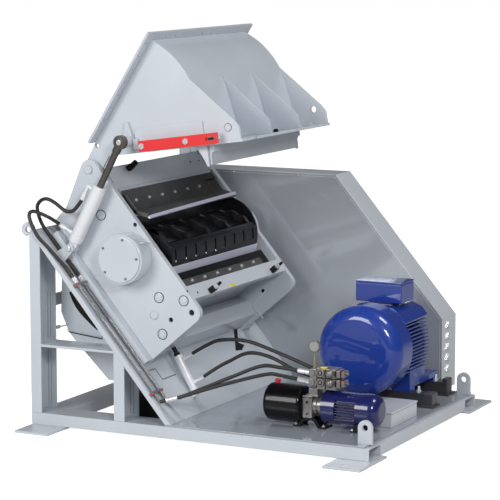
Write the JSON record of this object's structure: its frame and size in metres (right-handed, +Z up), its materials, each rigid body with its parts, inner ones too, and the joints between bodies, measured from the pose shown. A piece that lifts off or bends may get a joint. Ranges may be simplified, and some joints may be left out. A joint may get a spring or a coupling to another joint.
{
  "type": "rotor granulator",
  "caption": "Rotor granulator on a base frame: sloped bed, knife rotor between side plates, swing-up hopper with cylinder, drive motor, belt guard and power pack.",
  "frame": {"origin": "front left corner of the base frame at floor level, on the left faces of the posts and the front face of the front beam", "axes": "+X along the base towards the motor end, +Y from the bearing side towards the belt guard, +Z up"},
  "size_m": [2.285, 2.07, 2.3608],
  "materials": {
    "grey_paint": "satin",
    "dark_steel": "matte",
    "plated_steel": "satin",
    "knife_steel": "satin",
    "red_paint": "satin",
    "blue_paint": "gloss",
    "navy_paint": "gloss",
    "black_paint": "gloss",
    "hose_rubber": "matte"
  },
  "bodies": {
    "base": {"long_beams": "grey_paint", "cross_channels": "grey_paint", "foot_plates": "grey_paint", "deck_plate": "grey_paint", "lifting_lugs": "grey_paint", "left_frames": "grey_paint", "bed_plate": "grey_paint", "bed_bars": "grey_paint", "discharge_housing": "grey_paint", "side_plate_front": "grey_paint", "side_plate_rear": "grey_paint", "cross_beam": "grey_paint", "knife_bars": "dark_steel", "upper_wall": "dark_steel", "screen_cradle": "dark_steel", "lower_trough": "grey_paint", "bearings": "grey_paint", "bearing_cover": "grey_paint", "hinge_pins": "plated_steel", "cylinder_bracket": "plated_steel", "cradle_cylinder": "grey_paint", "motor_body": "blue_paint", "motor_cowl": "blue_paint", "terminal_box": "navy_paint", "motor_feet": "navy_paint", "slide_rails": "dark_steel", "belt_guard": "grey_paint", "oil_tank": "black_paint", "pump_block": "plated_steel", "pump_motor": "navy_paint", "pack_feet": "black_paint", "valve_block": "plated_steel", "pressure_gauge": "plated_steel", "control_box": "grey_paint", "oil_pipes": "plated_steel", "hose_long": "hose_rubber", "hose_middle": "hose_rubber", "hose_upper": "hose_rubber", "hose_lower": "hose_rubber", "loop_hose_left": "hose_rubber", "loop_hose_right": "hose_rubber"},
    "rotor": {"rotor_body": "dark_steel", "rotor_shaft": "plated_steel", "rotor_knives": "knife_steel"},
    "hopper": {"hopper_sides": "grey_paint", "hopper_ribs": "grey_paint", "hopper_sheets": "grey_paint", "hopper_flange": "grey_paint", "inlet_flange": "grey_paint", "locking_bar": "red_paint", "cylinder_boss": "grey_paint"},
    "cylinder_barrel": {"hopper_cylinder": "grey_paint"},
    "cylinder_rod": {"hopper_cylinder_rod": "dark_steel"}
  },
  "joints": [
    {"name": "rotor_spin", "type": "hinge", "parent": "base", "child": "rotor", "pos_m": [0.58474, 0.825, 1.03906], "axis": [0, 1, 0], "continuous": true},
    {"name": "hopper_hinge", "type": "hinge", "parent": "base", "child": "hopper", "pos_m": [0.31146, 0.825, 1.54209], "axis": [0, 1, 0], "range_deg": [0, 58]},
    {"name": "cylinder_swing", "type": "hinge", "parent": "base", "child": "cylinder_barrel", "pos_m": [0.23109, 0.11, 1.0778], "axis": [0, 1, 0], "range_deg": [0, 19.5], "deforming": ["loop_hose_left", "loop_hose_right"]},
    {"name": "rod_slide", "type": "slide", "parent": "cylinder_barrel", "child": "cylinder_rod", "axis": [0.4644, 0, 0.8856], "range_m": [-0.225, 0]}
  ],
  "couplings": [
    {"joint": "cylinder_swing", "follows": "hopper_hinge", "ratio": 0.33573},
    {"joint": "rod_slide", "follows": "hopper_hinge", "m_per_rad": -0.2214}
  ]
}
